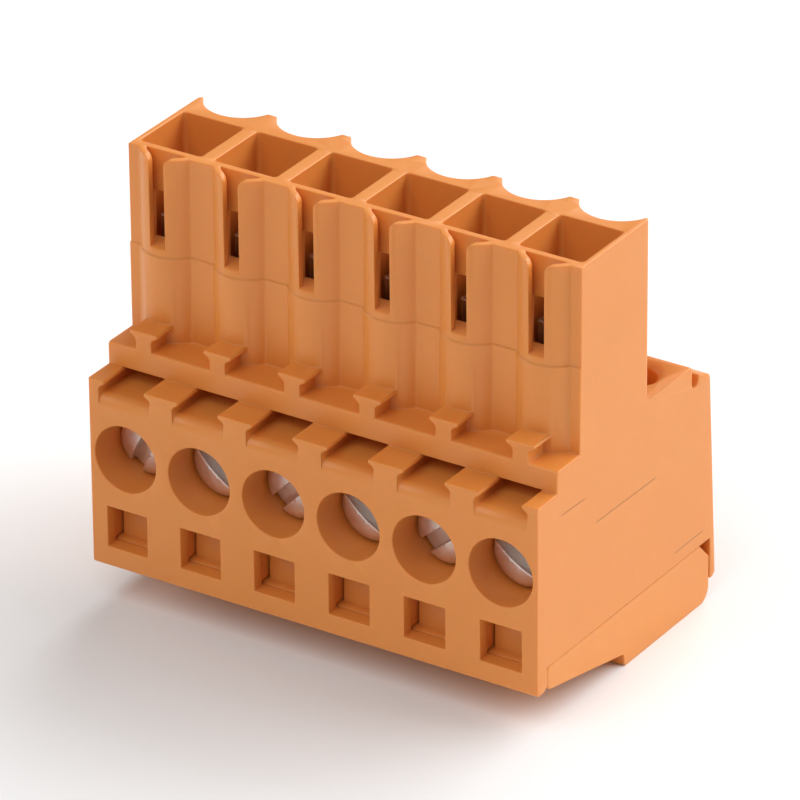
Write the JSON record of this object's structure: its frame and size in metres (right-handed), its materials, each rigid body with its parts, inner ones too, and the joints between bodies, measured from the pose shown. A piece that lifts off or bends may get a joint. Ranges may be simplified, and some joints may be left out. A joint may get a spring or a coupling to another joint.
{
  "type": "pluggable terminal block",
  "caption": "Pluggable screw terminal block: moulded plug housing with open mating cavities on top, a wire cover below, and clamping screws on the front.",
  "frame": {"origin": "on the base, below the middle of the overall width and depth", "axes": "+X along the row of poles, +Y away from the screws, +Z towards the mating side"},
  "size_m": [0.0304, 0.0196, 0.0276],
  "materials": {
    "housing_plastic": "satin moulded orange plastic",
    "cover_plastic": "satin moulded orange plastic",
    "screw_steel": "dull plated steel",
    "yoke_steel": "zinc plated steel",
    "contact_metal": "tin plated copper alloy",
    "spring_steel": "plain spring steel"
  },
  "bodies": {
    "root": {"housing": "housing_plastic", "wire_cover": "cover_plastic", "contact_1": "contact_metal", "contact_2": "contact_metal", "contact_3": "contact_metal", "contact_4": "contact_metal", "contact_5": "contact_metal", "contact_6": "contact_metal", "contact_spring_1": "spring_steel", "contact_spring_2": "spring_steel", "contact_spring_3": "spring_steel", "contact_spring_4": "spring_steel", "contact_spring_5": "spring_steel", "contact_spring_6": "spring_steel"},
    "screw_1": {"clamp_screw_1": "screw_steel"},
    "yoke_1": {"clamping_yoke_1": "yoke_steel"},
    "screw_2": {"clamp_screw_2": "screw_steel"},
    "yoke_2": {"clamping_yoke_2": "yoke_steel"},
    "screw_3": {"clamp_screw_3": "screw_steel"},
    "yoke_3": {"clamping_yoke_3": "yoke_steel"},
    "screw_4": {"clamp_screw_4": "screw_steel"},
    "yoke_4": {"clamping_yoke_4": "yoke_steel"},
    "screw_5": {"clamp_screw_5": "screw_steel"},
    "yoke_5": {"clamping_yoke_5": "yoke_steel"},
    "screw_6": {"clamp_screw_6": "screw_steel"},
    "yoke_6": {"clamping_yoke_6": "yoke_steel"}
  },
  "joints": [
    {"name": "screw_turn_1", "type": "hinge", "parent": "root", "child": "screw_1", "pos_m": [-0.0127, -0.0048, 0.00988], "axis": [0, 1, 0], "range_deg": [0, 1441]},
    {"name": "yoke_slide_1", "type": "slide", "parent": "root", "child": "yoke_1", "axis": [0, -1, 0], "range_m": [0, 0.0018]},
    {"name": "screw_turn_2", "type": "hinge", "parent": "root", "child": "screw_2", "pos_m": [-0.00762, -0.0048, 0.00988], "axis": [0, 1, 0], "range_deg": [0, 1441]},
    {"name": "yoke_slide_2", "type": "slide", "parent": "root", "child": "yoke_2", "axis": [0, -1, 0], "range_m": [0, 0.0018]},
    {"name": "screw_turn_3", "type": "hinge", "parent": "root", "child": "screw_3", "pos_m": [-0.00254, -0.0048, 0.00988], "axis": [0, 1, 0], "range_deg": [0, 1441]},
    {"name": "yoke_slide_3", "type": "slide", "parent": "root", "child": "yoke_3", "axis": [0, -1, 0], "range_m": [0, 0.0018]},
    {"name": "screw_turn_4", "type": "hinge", "parent": "root", "child": "screw_4", "pos_m": [0.00254, -0.0048, 0.00988], "axis": [0, 1, 0], "range_deg": [0, 1441]},
    {"name": "yoke_slide_4", "type": "slide", "parent": "root", "child": "yoke_4", "axis": [0, -1, 0], "range_m": [0, 0.0018]},
    {"name": "screw_turn_5", "type": "hinge", "parent": "root", "child": "screw_5", "pos_m": [0.00762, -0.0048, 0.00988], "axis": [0, 1, 0], "range_deg": [0, 1441]},
    {"name": "yoke_slide_5", "type": "slide", "parent": "root", "child": "yoke_5", "axis": [0, -1, 0], "range_m": [0, 0.0018]},
    {"name": "screw_turn_6", "type": "hinge", "parent": "root", "child": "screw_6", "pos_m": [0.0127, -0.0048, 0.00988], "axis": [0, 1, 0], "range_deg": [0, 1441]},
    {"name": "yoke_slide_6", "type": "slide", "parent": "root", "child": "yoke_6", "axis": [0, -1, 0], "range_m": [0, 0.0018]}
  ],
  "couplings": [
    {"joint": "screw_turn_1", "follows": "yoke_slide_1", "rad_per_m": 13963},
    {"joint": "screw_turn_2", "follows": "yoke_slide_2", "rad_per_m": 13963},
    {"joint": "screw_turn_3", "follows": "yoke_slide_3", "rad_per_m": 13963},
    {"joint": "screw_turn_4", "follows": "yoke_slide_4", "rad_per_m": 13963},
    {"joint": "screw_turn_5", "follows": "yoke_slide_5", "rad_per_m": 13963},
    {"joint": "screw_turn_6", "follows": "yoke_slide_6", "rad_per_m": 13963}
  ]
}
